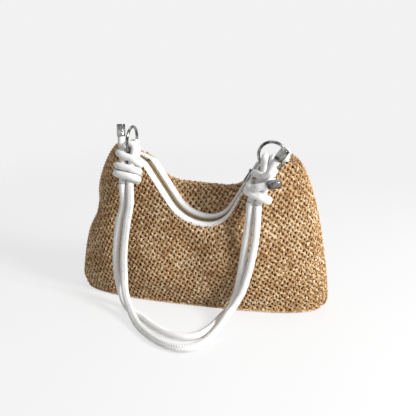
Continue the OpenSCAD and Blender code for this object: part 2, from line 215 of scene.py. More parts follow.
def setFloor():
    print("floor")
    paint = Finish("floorPaint")
    where = paint.node("TexCoord", out="Object")
    reach = paint.node("VectorMath", dict(operation="LENGTH"), {0: where}, "Value")
    fade = paint.node("MapRange", dict(interpolation_type="SMOOTHSTEP"),
                      {"Value": reach, "From Min": room["floorFull"], "From Max": room["floorEnd"]})
    tone = room["floorColour"]
    plain = paint.node("BsdfDiffuse", None, {"Color": (tone, tone, tone, 1)})
    clear = paint.node("BsdfTransparent")
    shade = room["floorShade"]
    dim = paint.node("BsdfDiffuse", None, {"Color": (shade, shade, shade, 1)})
    shine = paint.node("Emission", None, {"Color": (1, 1, 1, 1), "Strength": room["floorGlow"]})
    watched = paint.node("AddShader", None, {0: dim, 1: shine})
    isSeen = paint.node("LightPath", out=seenRays[0])
    for ray in seenRays[1:]:
        isSeen = isSeen.math("MAXIMUM", isSeen, paint.node("LightPath", out=ray))
    solid = paint.node("MixShader", None, {0: isSeen, 1: plain, 2: watched})
    both = paint.node("MixShader", None, {0: fade, 1: solid, 2: clear})
    paint.node("OutputMaterial", None, {"Surface": both})
    bpy.ops.mesh.primitive_plane_add(size=room["floorSize"], location=(0, 0, -room["floorDrop"]))
    floor = bpy.context.object
    floor.name = "floor"
    floor.data.materials.append(paint.material)
    floor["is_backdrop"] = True


# Finishes
def strawFinish():
    # Tone from three noises, not tied to where the strands lie: golden on the whole with random
    # variation, while the darkest stop is painted shade and the palest stop is painted highlight
    finish = Finish("straw")
    broad = finish.noise(28.0, 2.0)
    knots = finish.noise(210.0, 2.0, 0.5)
    fine = finish.noise(460.0, 4.0, 0.65)
    tone = broad * 0.2 + knots * 0.45 + fine * 0.6 - 0.125
    colour = finish.ramp(tone, [(0.30, (0.11, 0.042, 0.012)), (0.42, (0.36, 0.175, 0.052)),
                                (0.53, (0.58, 0.375, 0.185)), (0.65, (0.90, 0.76, 0.55))])
    fibre = finish.noise(1500.0, 2.0, 0.6)
    return finish.surface(Base_Color=colour, Roughness=0.34 + 0.25 * fine,
                          Coat_Weight=0.05, Coat_Roughness=0.3,
                          Normal=finish.bump(fibre + 0.6 * fine, 0.6, 0.0007))


def threadFinish():
    finish = Finish("thread")
    twist = finish.noise(800.0, 3.0)
    colour = finish.mix(twist, (0.40, 0.385, 0.355, 1), (0.60, 0.585, 0.555, 1))
    return finish.surface(Base_Color=colour, Roughness=0.55 + 0.2 * twist,
                          Normal=finish.bump(twist, 0.4, 0.0003))


def leatherFinish():
    finish = Finish("whiteLeather")
    broad = finish.noise(35.0, 3.0)
    pores = finish.grains(900.0)
    crease = finish.noise(240.0, 4.0, 0.6)
    colour = finish.mix(broad, (0.79, 0.785, 0.775, 1), (0.87, 0.865, 0.855, 1))
    # Painted shade: the colour is darkened along the same creases that the bump follows
    creaseShaded = finish.mix(crease * 0.22, colour, (0.62, 0.60, 0.57, 1))
    return finish.surface(Base_Color=creaseShaded, Roughness=0.36 + 0.2 * crease,
                          Normal=finish.bump(0.35 * pores + crease, 0.35, 0.0005), Coat_Roughness=0.3)


def metalFinish():
    finish = Finish("darkMetal")
    # Painted reflection: patches of dark and bright in the colour stand in for a surrounding room
    # mirrored in the metal; the same noise varies the roughness
    paintedReflectionNoise = finish.noise(90.0, 4.0)
    fine = finish.noise(700.0, 2.0)
    colour = finish.ramp(paintedReflectionNoise, [(0.40, (0.035, 0.035, 0.033)), (0.62, (0.40, 0.40, 0.385))])
    return finish.surface(Base_Color=colour, Metallic=1.0, Roughness=0.08 + 0.16 * paintedReflectionNoise,
                          Normal=finish.bump(fine, 0.06, 0.0003))


def tapeFinish():
    finish = Finish("zipTape")
    ribs = finish.ribs("DIAGONAL", 320.0, Distortion=0.6, Detail=1.0)
    thread = finish.noise(900.0, 2.0)
    colour = finish.mix(0.6 * ribs + 0.4 * thread, (0.15, 0.11, 0.055, 1), (0.34, 0.255, 0.14, 1))
    return finish.surface(Base_Color=colour, Roughness=0.82 + 0.1 * thread,
                          Normal=finish.bump(ribs, 0.6, 0.0004))


def teethFinish():
    finish = Finish("zipTeeth")
    patch = finish.noise(260.0, 3.0)
    colour = finish.mix(patch, (0.24, 0.18, 0.10, 1), (0.36, 0.28, 0.17, 1))
    return finish.surface(Base_Color=colour, Roughness=0.38 + 0.2 * patch,
                          Normal=finish.bump(patch, 0.2, 0.0003))


def liningFinish():
    finish = Finish("liningCloth")
    warp = finish.ribs("X", 260.0, Distortion=1.5)
    weft = finish.ribs("Z", 260.0, Distortion=1.5)
    cloth = 0.5 * warp + 0.5 * weft
    colour = finish.mix(cloth, (0.070, 0.036, 0.012, 1), (0.16, 0.092, 0.036, 1))
    return finish.surface(Base_Color=colour, Roughness=0.85 + 0.1 * cloth,
                          Normal=finish.bump(cloth, 0.5, 0.0004))


def boardFinish():
    finish = Finish("board")
    fleck = finish.noise(500.0, 4.0, 0.7)
    colour = finish.mix(fleck, (0.10, 0.075, 0.05, 1), (0.20, 0.15, 0.10, 1))
    return finish.surface(Base_Color=colour, Roughness=0.8 + 0.1 * fleck,
                          Normal=finish.bump(fleck, 0.3, 0.0004))


# Mesh helpers
sharpFrom = math.radians(48)


def addMesh(name, verts, faces, material, slot, body):
    mesh = bpy.data.meshes.new(name)
    mesh.from_pydata([tuple(v) for v in verts], [], [tuple(f) for f in faces])
    mesh.validate()
    mesh.update()
    mesh.polygons.foreach_set("use_smooth", [True] * len(mesh.polygons))
    mesh.materials.append(material)
    made = bpy.data.objects.new(name, mesh)
    scene.collection.objects.link(made)
    mesh.set_sharp_from_angle(angle=sharpFrom)
    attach(made, body)
    return made


def eased(k):
    k = np.clip(k, 0, 1)
    return k * k * (3 - 2 * k)


def unit(v):
    v = np.asarray(v, float)
    return v / np.maximum(np.linalg.norm(v, axis=-1, keepdims=True), 1e-12)


def smoothPath(points, step):
    # A smooth curve through the points, resampled at an even step
    p = np.asarray(points, float)
    p = np.vstack([2 * p[0] - p[1], p, 2 * p[-1] - p[-2]])
    fine = []
    t = np.linspace(0, 1, 24, endpoint=False)[:, None]
    for a, b, c, d in zip(p, p[1:], p[2:], p[3:]):
        fine.append(0.5 * (2 * b + (c - a) * t + (2 * a - 5 * b + 4 * c - d) * t ** 2
                           + (3 * b - a - 3 * c + d) * t ** 3))
    fine = np.vstack(fine + [p[-2:-1]])
    return resample(fine, step)


def distances(p):
    # Distance along the path at each of its points
    return np.concatenate([[0], np.cumsum(np.linalg.norm(np.diff(p, axis=0), axis=1))])


def resample(p, step):
    along = distances(p)
    count = max(2, int(round(along[-1] / step)) + 1)
    where = np.linspace(0, along[-1], count)
    return np.stack([np.interp(where, along, p[:, k]) for k in range(3)], axis=1)


def tangents(p):
    return unit(np.gradient(p, axis=0))


def carried(p):
    # A frame carried along the path without twist: (tangent, normal, side)
    t = tangents(p)
    n = np.zeros_like(p)
    first = np.array((0, 0, 1), float)
    if abs(np.dot(unit(first), t[0])) > 0.95:
        first = np.array((1.0, 0, 0))
    n[0] = unit(first - t[0] * np.dot(first, t[0]))
    for i in range(1, len(p)):
        n[i] = unit(n[i - 1] - t[i] * np.dot(n[i - 1], t[i]))
    return t, n, np.cross(t, n)


def facing(p, hint):
    # A frame whose normal stays as close as it can to the hint, given per point or once
    t = tangents(p)
    hint = np.broadcast_to(np.asarray(hint, float), p.shape)
    n = unit(hint - t * np.sum(hint * t, axis=1, keepdims=True))
    return t, n, np.cross(t, n)


def bridged(rings, sides, flip=False):
    # Quads between rings of points
    faces = []
    for ring in range(rings - 1):
        for i in range(sides):
            j = (i + 1) % sides
            a, b = ring * sides + i, ring * sides + j
            c, d = b + sides, a + sides
            faces.append((a, d, c, b) if flip else (a, b, c, d))
    return faces


def sweep(p, n, b, section):
    # section: (rings, sides, 2) or (sides, 2), offsets along the normal and the side
    section = np.broadcast_to(section, (len(p), *np.asarray(section).shape[-2:]))
    sides = section.shape[1]
    verts = (p[:, None] + n[:, None] * section[:, :, :1] + b[:, None] * section[:, :, 1:]).reshape(-1, 3)
    faces = bridged(len(p), sides)
    faces.append(tuple(range(sides))[::-1])
    faces.append(tuple((len(p) - 1) * sides + i for i in range(sides)))
    return verts, faces


def circle(radiusN, radiusB, sides):
    a = np.arange(sides) * 2 * math.pi / sides
    return np.stack([np.cos(a) * radiusN, np.sin(a) * radiusB], axis=1)


def joinParts(parts):
    verts, faces, base = [], [], 0
    for v, f in parts:
        verts.append(v)
        faces += [tuple(i + base for i in face) for face in f]
        base += len(v)
    return np.vstack(verts), faces


def grainy(count, width):
    # A smooth random line of that many values
    raw = rng.normal(size=count + 2 * width)
    kernel = np.hanning(2 * width + 1)
    return np.convolve(raw, kernel / np.sqrt((kernel ** 2).sum()), "valid")[:count]


# The woven straw
# Spacing and slant of the two families of strands, how far they weave in and out, and their fibres
straw = dict(across=5.5 * mm, acrossAngle=-36, down=6.3 * mm, downAngle=-114, samples=4,
             lift=1.05 * mm, depth=1.5 * mm, baseDepth=2.7 * mm, wobble=0.20 * mm,
             fibreGap=0.86 * mm, fibreWide=1.12 * mm, fibreThick=0.75 * mm, sides=5,
             shortest=4)
# Rays that find the walls, in metres
rays = dict(standOff=0.06, reach=0.3, flapTop=0.35, flapRise=0.74, baseStart=-0.1)
# The body's outline from the front, and how the left side sags in
body = dict(baseHalf=172 * mm, bellyHalf=180 * mm, bellyZ=15 * mm, cornerX=114 * mm, cornerZ=219 * mm,
            baseDepth=39 * mm, sag=9 * mm, sagZ=0.56 * 219 * mm, sagSpread=26 * mm, aimDepth=50 * mm,
            leftPower=0.6, rightPower=0.45)
edging = dict(radius=1.9 * mm, pitch=9 * mm, inset=0.6 * mm, low=4 * mm, high=217 * mm,
              hemInset=1 * mm, hemZ=2.6 * mm)


def closing(u):
    return np.maximum(0, 1 - np.abs(u) ** 2.8) ** (1 / 2.3)


def halfLength(z, side):
    base, belly, corner = body["baseHalf"], body["bellyHalf"], body["cornerX"]
    if z < body["bellyZ"]:
        return base + (belly - base) * math.sin(math.pi / 2 * max(0, z) / body["bellyZ"])
    share = min(1, (z - body["bellyZ"]) / (body["cornerZ"] - body["bellyZ"]))
    power = body["leftPower"] if side < 0 else body["rightPower"]
    half = corner + (belly - corner) * (1 - share ** 1.2) ** power
    if side < 0:
        half -= body["sag"] * math.exp(-((z - body["sagZ"]) / body["sagSpread"]) ** 2)
    return half


# Distance round a typical level of the wall against the share of the half length reached
typicalHalf = 165 * mm
shareLine = np.linspace(0, 0.9998, 600)
depthLine = closing(shareLine) * body["baseDepth"] * 1.15
runLine = np.cumsum(np.hypot(np.diff(shareLine) * typicalHalf, np.diff(depthLine)))
runLine = np.concatenate([[0], runLine]) / typicalHalf


def aimAt(around, z, side):
    # Start and direction of a ray that meets the wall squarely, side -1 for the front
    half = halfLength(z, around)
    share = abs(around) / half
    if share > runLine[-1]:
        return None, None
    u = float(np.interp(share, runLine, shareLine))
    deep = body["aimDepth"] * (1 - 0.9 * max(0, z / body["cornerZ"]) ** 3)
    nudge = 1e-4
    slope = float(closing(u + nudge) - closing(u - nudge)) / (2 * nudge) * deep / half
    out = unit(np.array([-slope, 1.0]))
    sign = 1 if around >= 0 else -1
    place = np.array([sign * u * half, side * deep * float(closing(u)), z])
    normal = np.array([sign * out[0], side * out[1], 0])
    return place + normal * rays["standOff"], -normal


def treeOf(node):
    mesh = nodes[node].data
    return BVHTree.FromPolygons([v.co[:] for v in mesh.vertices], [p.vertices[:] for p in mesh.polygons])


def slanted(length, angle):
    return length * np.array([math.cos(math.radians(angle)), math.sin(math.radians(angle))])


def surfacePoint(tree, ray, keep, flat):
    # Where the ray for this place on the lattice meets the wall, with the normal turned to the ray
    origin, direction = ray(*flat)
    if origin is None:
        return None
    direction = Vector(direction)
    place, normal, _, _ = tree.ray_cast(Vector(origin), direction, rays["reach"])
    if place is None:
        return None
    if normal.dot(direction) > 0:
        normal = -normal
    return (np.array(place), np.array(normal)) if keep(normal) else None


def strandRuns(tree, ray, keep, low, high):
    # Lattice strands of both families, as runs of points on the surface with normals and lift
    a = slanted(straw["across"], straw["acrossAngle"])
    b = slanted(straw["down"], straw["downAngle"])
    inverse = np.linalg.inv(np.stack([a, b], axis=1))
    corners = np.array([inverse @ np.array([x, y]) for x in (low[0], high[0]) for y in (low[1], high[1])])
    span = [(int(math.floor(corners[:, k].min())), int(math.ceil(corners[:, k].max()))) for k in (0, 1)]
    for family, (along, step) in enumerate(((a, b), (b, a))):
        lines, reach = (span[1], span[0]) if family == 0 else (span[0], span[1])
        for line in range(lines[0], lines[1] + 1):
            run = []
            for k in range(reach[0] * straw["samples"], reach[1] * straw["samples"] + 1):
                t = k / straw["samples"]
                flat = line * step + t * along
                hit = None
                if low[0] <= flat[0] <= high[0] and low[1] <= flat[1] <= high[1]:
                    hit = surfacePoint(tree, ray, keep, flat)
                if hit is not None:
                    run.append((*hit, t))
                    continue
                if len(run) >= straw["shortest"]:
                    yield family, line, run
                run = []
            if len(run) >= straw["shortest"]:
                yield family, line, run


def soften(values, times):
    for _ in range(times):
        inner = 0.25 * values[:-2] + 0.5 * values[1:-1] + 0.25 * values[2:]
        values = np.vstack([values[:1], inner, values[-1:]])
    return values


def wovenParts(node, ray, keep, low, high, depth=straw["depth"]):
    tree = treeOf(node)
    parts = []
    for family, line, run in strandRuns(tree, ray, keep, low, high):
        p = soften(np.array([r[0] for r in run]), 6)
        n = unit(soften(np.array([r[1] for r in run]), 8))
        t = np.array([r[2] for r in run])
        sign = 1 if family == 0 else -1
        over = sign * np.cos(math.pi * (t + line)) * straw["lift"]
        centre = p - n * (depth - over)[:, None]
        _, n, side = facing(centre, n)
        turn = math.pi * t + rng.uniform(0, 6.28)
        for half in (0, math.pi):
            gap = straw["fibreGap"] * (1 + 0.2 * grainy(len(t), 4))
            drift = straw["wobble"] * grainy(len(t), 5)
            wide = straw["fibreWide"] * (1 + 0.15 * grainy(len(t), 3))
            aside = gap * np.cos(turn + half) + drift
            raised = 0.5 * gap * np.sin(turn + half)
            c = centre + side * aside[:, None] + n * raised[:, None]
            ring = circle(1, 1, straw["sides"])[None] * np.stack(
                [np.full(len(t), straw["fibreThick"]), wide], axis=1)[:, None]
            parts.append(sweep(c, n, side, ring))
    return parts


def frontRay(around, z):
    return aimAt(around, z, -1)


def backRay(around, z):
    return aimAt(around, z, 1)


def flapRay(x, run):
    return np.array([x, run * rays["flapRise"], rays["flapTop"]]), np.array([0, 0, -1.0])


def baseRay(x, y):
    return np.array([x, y, rays["baseStart"]]), np.array([0, 0, 1.0])


def twistedCord(p, radius, pitch, count=2, sides=6):
    # Strands twisted round a line, for the edges of the woven body
    _, n, b = carried(p)
    along = distances(p)
    parts = []
    for k in range(count):
        turn = 2 * math.pi * (along / pitch + k / count)
        c = p + radius * 0.55 * (n * np.cos(turn)[:, None] + b * np.sin(turn)[:, None])
        r = radius * 0.62 * (1 + 0.08 * grainy(len(p), 4))
        _, cn, cb = carried(c)
        parts.append(sweep(c, cn, cb, circle(1, 1, sides)[None] * r[:, None, None]))
    return parts


# Soft dents and swellings of the walls: place along, height, spreads, slant and depth, in mm
slouch = dict(
    front=[(-4, 92, 26, 46, 0.35, -5.0), (-62, 62, 30, 26, 0.3, 3.0), (52, 84, 34, 44, -0.2, 3.0),
           (-84, 128, 24, 30, 0.5, -3.5), (-126, 84, 22, 26, 0.4, 2.5), (-28, 38, 50, 14, -0.1, 2.5),
           (112, 120, 26, 30, -0.3, -2.5), (24, 40, 36, 16, 0.1, -2.5)],
    back=[(40, 110, 40, 46, -0.4, -4.0), (-60, 90, 38, 40, 0.4, 3.0), (-10, 50, 60, 20, 0.1, -2.5)],
    edge=32 * mm, floor=30 * mm, zipClear=10 * mm, seamShare=0.22, stillDepth=10 * mm, fullDepth=12 * mm)


def slouched(points):
    # The points moved in depth by the dents, which fade out at the zip, the seams and the base
    p = np.array(points, float)
    d = np.linspace(-zipHalves[-1]["total"], zipHalves[1]["total"], 90)
    rim = np.array([zipFrame(v)[0] for v in d])
    top = np.interp(p[:, 0], rim[:, 0], rim[:, 2]) - slouch["zipClear"]
    weight = eased(p[:, 2] / slouch["floor"]) * eased((top - p[:, 2]) / slouch["edge"])
    weight *= eased((1 - np.abs(p[:, 0]) / body["bellyHalf"]) / slouch["seamShare"])
    for name, sign in (("front", -1), ("back", 1)):
        shift = np.zeros(len(p))
        for x, z, wide, high, slant, deep in slouch[name]:
            dx = p[:, 0] / mm - x - slant * (p[:, 2] / mm - z)
            shift += deep * np.exp(-(dx / wide) ** 2 - ((p[:, 2] / mm - z) / high) ** 2)
        side = eased((sign * p[:, 1] - slouch["stillDepth"]) / slouch["fullDepth"])
        p[:, 1] += sign * shift * mm * weight * side
    return p


def makeLining(material):
    print("lining")
    mesh = nodes["lining"].data
    verts = slouched([v.co[:] for v in mesh.vertices])
    faces = [p.vertices[:] for p in mesh.polygons]
    made = addMesh("lining_cloth", verts, faces, material, "lining_cloth", "bag")
    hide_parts("lining")


def makeBody(material):
    print("woven body")
    # Each wall's lattice: the normals that belong to it, and the lowest and highest corners
    front = wovenParts("front_panel", frontRay, lambda n: n.y < 0.15, (-0.25, 0.004), (0.25, 0.222))
    back = wovenParts("back_panel", backRay, lambda n: n.y > 0.0 and n.z < 0.86,
                      (-0.25, 0.004), (0.25, 0.225))
    flap = wovenParts("back_panel", flapRay, lambda n: n.z > 0.5 or n.y < 0, (-0.14, -0.09), (0.14, 0.09))
    base = wovenParts("base_panel", baseRay, lambda n: n.z < -0.5,
                      (-0.18, -0.045), (0.18, 0.045), straw["baseDepth"])
    seam = []
    for side in (-1, 1):
        z = np.linspace(edging["low"], edging["high"], 120)
        line = np.array([(side * (halfLength(v, side) - edging["inset"]), 0, v) for v in z])
        seam += twistedCord(resample(line, 1.6 * mm), edging["radius"], edging["pitch"])
    u = np.linspace(-1, 1, 160)
    u = np.sin(u * math.pi / 2)
    x = u * (body["baseHalf"] - edging["hemInset"])
    y = closing(u) * (body["baseDepth"] - edging["hemInset"])
    z = np.full_like(x, edging["hemZ"])
    loop = np.vstack([np.stack([x, -y, z], 1), np.stack([x, y, z], 1)[::-1][1:]])
    hem = twistedCord(resample(loop, 2.0 * mm), edging["radius"], edging["pitch"])
    for name, parts in (("front", front), ("back", back + flap), ("base", base)):
        verts, faces = joinParts(parts)
        made = addMesh("woven_" + name, slouched(verts), faces, material, "straw", "bag")
        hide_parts(name + "_panel")
        print("woven", name, len(made.data.vertices), "points")
    addMesh("side_seams", *joinParts(seam), material, "straw", "bag")
    addMesh("base_hem", *joinParts(hem), material, "straw", "bag")


# The zip
zipSizes = dict(lowZ=127 * mm, lowY=-30 * mm, shift=16 * mm, lean=math.radians(18.7), half=12 * mm,
                tape=3.5 * mm, gap=0.75 * mm, leftTilt=math.radians(45), rightTilt=math.radians(22),
                cornerHalf=0.6 * mm, toothStep=1.7 * mm, stitchStep=3.4 * mm, stitchLong=2.3 * mm,
                stitchThick=0.32 * mm)
leanY, leanZ = math.sin(zipSizes["lean"]), math.cos(zipSizes["lean"])
zipFlat = np.array([0, leanZ, -leanY])


def outDir(a):
    return np.array([math.sin(a), -math.cos(a) * leanY, -math.cos(a) * leanZ])


def zipHalf(side, r, arc, run):
    # Measures of the zip's line from its lowest point out to one corner
    centre = np.array([0, zipSizes["lowY"] + r * leanY, zipSizes["lowZ"] + r * leanZ])
    start = centre + r * outDir(arc)
    ahead = np.array([math.cos(arc), math.sin(arc) * leanY, math.sin(arc) * leanZ])
    corner = np.array([body["cornerX"] - side * zipSizes["shift"], 0, body["cornerZ"]])
    curved = r * arc
    last = float(np.linalg.norm(corner - start - run * ahead))
    return dict(r=r, centre=centre, arc=arc, run=run, start=start, ahead=ahead, corner=corner,
                curved=curved, teeth=curved + run, last=last, total=curved + run + last)


zipHalves = {-1: zipHalf(-1, 61 * mm, math.radians(52), 64 * mm),
             1: zipHalf(1, 36 * mm, math.radians(62), 70 * mm)}


def zipFrame(d):
    # Place, direction across to the back, and outward direction at a distance from the lowest point
    side = -1 if d < 0 else 1
    line = zipHalves[side]
    turn = eased((d / line["total"] + 0.1) / 0.5)
    tilt = zipSizes["leftTilt"] + (zipSizes["rightTilt"] - zipSizes["leftTilt"]) * turn
    d = abs(d)
    a = min(1, d / line["curved"]) * line["arc"]
    end = line["start"] + line["run"] * line["ahead"]
    if d <= line["curved"]:
        place = line["centre"] + line["r"] * outDir(a)
    elif d <= line["teeth"]:
        place = line["start"] + (d - line["curved"]) * line["ahead"]
    else:
        place = end + (line["corner"] - end) * min(1, (d - line["teeth"]) / line["last"])
    k = eased((d - line["teeth"] + 0.1 * line["run"]) / (line["last"] + 0.1 * line["run"]))
    across = math.cos(tilt) * zipFlat - math.sin(tilt) * outDir(a)
    inward = math.sin(tilt) * zipFlat + math.cos(tilt) * outDir(a)
    across = unit(across * (1 - k) + np.array([0, 1.0, 0]) * k)
    inward = unit(inward * (1 - k) + np.array([-0.5, 0, -0.86]) * k)
    half = zipSizes["half"] * (1 - k) + zipSizes["cornerHalf"] * k
    flip = np.array([side, 1, 1])
    place = place * flip + np.array([zipSizes["shift"], 0, 0])
    return place, across * flip, -inward * flip, half / zipSizes["half"]


def zipStrip(profile, reach, step=2.0 * mm):
    # profile: (p, q) in metres, p scaled with the zip's width
    low, high = -reach * zipHalves[-1]["total"], reach * zipHalves[1]["total"]
    places = np.linspace(low, high, int((high - low) / step) + 1)
    rings = []
    for d in places:
        place, across, out, k = zipFrame(d)
        rings.append([place + p * k * across + q * out for p, q in profile])
    sides = len(profile)
    verts = np.array(rings).reshape(-1, 3)
    faces = bridged(len(places), sides, flip=True)
    faces.append(tuple(range(sides)))
    faces.append(tuple((len(places) - 1) * sides + i for i in range(sides))[::-1])
    return verts, faces


def capsule(centre, along, up, length, wide, thick):
    # A short rounded stitch or tooth
    side = np.cross(along, up)
    share = np.array([-0.5, -0.42, -0.2, 0.2, 0.42, 0.5])
    size = np.array([0.25, 0.75, 1, 1, 0.75, 0.25])
    c = centre + np.outer(share * length, along)
    ring = circle(1, 1, 6)[None] * np.stack([size * thick, size * wide], 1)[:, None]
    return sweep(c, np.broadcast_to(up, c.shape), np.broadcast_to(side, c.shape), ring)


def bandProfile(inner, outer, low, high, puff, count=9):
    # A crowned band with rolled edges
    a = np.linspace(0, math.pi, count)
    middle, half = (inner + outer) / 2, (outer - inner) / 2
    top = [(middle - half * math.copysign(abs(math.cos(v)) ** 0.6, math.cos(v)),
            low + (high - low) * abs(math.sin(v)) ** 0.55 + puff * math.sin(v) ** 2) for v in a]
    return top + [(middle + half * 0.8, low), (middle - half * 0.8, low)]


# Sections and places across the zip, measured out from its middle line and up from its cloth
zipTrim = dict(reach=0.985, bandOver=0.8 * mm, bandLow=0.5 * mm, bandHigh=1.7 * mm, crown=0.15 * mm,
               tapeUnder=1 * mm, toothOut=1.25 * mm, toothUp=1.0 * mm, toothLong=2.3 * mm,
               toothWide=0.42 * mm, toothThick=0.5 * mm, toothSlant=0.25,
               stitchLines=((4.9 * mm, 1.85 * mm), (11.2 * mm, 1.8 * mm)), stitchPast=14 * mm)


def alongZip(low, high, step):
    # Evenly spaced places with the directions across, ahead and out, and the share of the full width
    for d in np.arange(low, high, step):
        place, across, out, k = zipFrame(d)
        yield place, across, unit(zipFrame(d + 1 * mm)[0] - place), out, k


def zipBand(side):
    outer = zipSizes["half"] + zipTrim["bandOver"]
    band = bandProfile(zipSizes["tape"], outer, zipTrim["bandLow"], zipTrim["bandHigh"], zipTrim["crown"])
    return zipStrip([(side * p, q) for p, q in band], zipTrim["reach"])


def zipTape(side):
    near, far = zipSizes["gap"], zipSizes["half"] - zipTrim["tapeUnder"]
    flat = [(near, -0.4 * mm), (near, 0.4 * mm), (2.2 * mm, 0.55 * mm), (3.6 * mm, 0.5 * mm),
            (far, 0.4 * mm), (far, -0.4 * mm)]
    return zipStrip([(side * p, q) for p, q in flat], zipTrim["reach"])


def zipTeeth(side):
    parts = []
    shift = 0 if side < 0 else zipSizes["toothStep"] / 2
    low, high = -zipHalves[-1]["teeth"] + shift, zipHalves[1]["teeth"]
    for place, across, ahead, out, k in alongZip(low, high, zipSizes["toothStep"]):
        lean = unit(across * side + zipTrim["toothSlant"] * ahead)
        root = place + across * side * zipTrim["toothOut"] * k + out * zipTrim["toothUp"]
        parts.append(capsule(root, lean, out, zipTrim["toothLong"] * k, zipTrim["toothWide"],
                             zipTrim["toothThick"]))
    return joinParts(parts)


def zipStitches(side):
    parts = []
    thick = zipSizes["stitchThick"]
    low = -zipHalves[-1]["teeth"] - zipTrim["stitchPast"]
    high = zipHalves[1]["teeth"] + zipTrim["stitchPast"]
    for place, across, ahead, out, k in alongZip(low, high, zipSizes["stitchStep"]):
        for p, q in zipTrim["stitchLines"]:
            root = place + across * side * p * k + out * q
            parts.append(capsule(root, ahead, out, zipSizes["stitchLong"], thick, thick))
    return joinParts(parts)


def makeZip(leather, tape, teeth, thread):
    print("zip")
    for name, side in (("front", -1), ("back", 1)):
        made = addMesh("leather_edge_" + name, *zipBand(side), leather, "white_leather", "bag")
        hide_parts("zip_edge_" + name)
        made = addMesh("tape_" + name, *zipTape(side), tape, "zip_tape", "bag")
        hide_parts("zip_tape_" + name)
        made = addMesh("teeth_" + name, *zipTeeth(side), teeth, "zip_teeth", "bag")
        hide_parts("zip_teeth_" + name)
        addMesh("edge_stitches_" + name, *zipStitches(side), thread, "white_leather", "bag")


# The strap: ring places, knots and cords
# Depths are measured down the hanging strap from each ring
strap = dict(cord=5 * mm, ring=17.5 * mm, wire=2 * mm, lean=math.radians(21), rightSide=math.radians(-16),
             left=(-88 * mm, -25 * mm, 231 * mm), right=(101 * mm, -35 * mm, 224 * mm),
             hangSide=-3 * mm, pair=5.35 * mm, inner=5.2 * mm, leftUpper=37 * mm, leftEnd=58 * mm,
             rightEnd=48 * mm, wrap=4.8 * mm, wrapWide=15.1 * mm, wrapDeep=9.9 * mm, wrapTurns=2.9,
             step=1.6 * mm)
leftRing, rightRing = np.array(strap["left"]), np.array(strap["right"])
swing = unit(rightRing - leftRing)
swingYaw = math.atan2(swing[1], swing[0])
swingDip = math.asin(swing[2])


def turned(axis, angle):
    c, s = math.cos(angle), math.sin(angle)
    return {"x": np.array([[1, 0, 0], [0, c, -s], [0, s, c]]),
            "y": np.array([[c, 0, s], [0, 1, 0], [-s, 0, c]]),
            "z": np.array([[c, -s, 0], [s, c, 0], [0, 0, 1]])}[axis]


def hangFrame(sideLean):
    level = turned("z", swingYaw) @ turned("y", -swingDip)
    return level @ turned("x", -strap["lean"]) @ turned("y", -sideLean)


leftFrame, rightFrame = hangFrame(0), hangFrame(strap["rightSide"])
hangDrop = math.sqrt(strap["ring"] ** 2 - strap["hangSide"] ** 2)
rightHang = rightRing + turned("z", swingYaw) @ np.array([strap["hangSide"], 0, -hangDrop])


def hung(at, turn, points):
    return at + np.asarray(points, float) @ turn.T


def leatherTube(p, radius, sides=18, creases=0.05, capped=True):
    # A rolled leather cord: slightly uneven, with faint creases across it
    _, n, b = carried(p)
    a = np.arange(sides) * 2 * math.pi / sides
    wave = creases * grainy(len(p), 3)[:, None] * (0.6 + 0.4 * np.cos(a + rng.uniform(0, 6))[None])
    r = radius * (1 + 0.25 * wave)
    if capped:
        along = distances(p)
        ends = np.minimum(along, along[-1] - along)
        r = r * (0.55 + 0.45 * np.clip(ends / (radius * 0.5), 0, 1) ** 0.5)[:, None]
    ring = np.stack([np.cos(a)[None] * r, np.sin(a)[None] * r], axis=2)
    return sweep(p, n, b, ring)


def wrapPath(depthAt, start, count=46):
    # Turns of cord round the pair, as a rounded oval whose depth follows depthAt
    turns, wide, deep = strap["wrapTurns"], strap["wrapWide"], strap["wrapDeep"]
    theta = np.linspace(0, turns * 2 * math.pi, int(count * turns)) + start
    power = 2 / 2.5
    x = wide * np.sign(np.cos(theta)) * np.abs(np.cos(theta)) ** power
    y = deep * np.sign(np.sin(theta)) * np.abs(np.sin(theta)) ** power
    z = -np.array([depthAt((v - start) / (2 * math.pi)) for v in theta])
    return np.stack([x, y, z], axis=1)


def bight(offset, top, rise, legEnd, spread, cross, alongX):
    # A cord over the ring's wire with both legs drawn together at the knot
    reach = strap["wire"] + strap["cord"] + 0.4 * mm
    a = np.linspace(0, math.pi, 13)
    arch = np.stack([reach * np.cos(a), np.full(13, offset), top + rise + reach * np.sin(a)], axis=1)
    middle = ((reach + spread) / 2, (offset + cross) / 2, (top + legEnd) / 2)
    down = [(reach, offset, top + rise - 4 * mm), middle, (spread, cross, legEnd)]
    left = [(-x, y, z) for x, y, z in down]
    path = np.vstack([down[::-1], arch, left])
    if not alongX:
        path = path[:, [1, 0, 2]]
    return smoothPath(path, strap["step"])


def lathe(profile, base, axis, sides=40):
    _, n, b = carried(np.array([base, base + axis * 0.01]))
    a = np.arange(sides) * 2 * math.pi / sides
    verts = []
    for along, r in profile:
        for v in a:
            verts.append(base + axis * along + r * (n[0] * math.cos(v) + b[0] * math.sin(v)))
    faces = bridged(len(profile), sides)
    verts.append(base + axis * profile[-1][0])
    last = (len(profile) - 1) * sides
    for i in range(sides):
        faces.append((last + i, last + (i + 1) % sides, len(verts) - 1))
    return np.array(verts), faces


cap = dict(r=5.9 * mm, length=16.5 * mm, mouth=5.0 * mm, hollow=7 * mm, edge=0.9 * mm, dome=0.15 * mm)


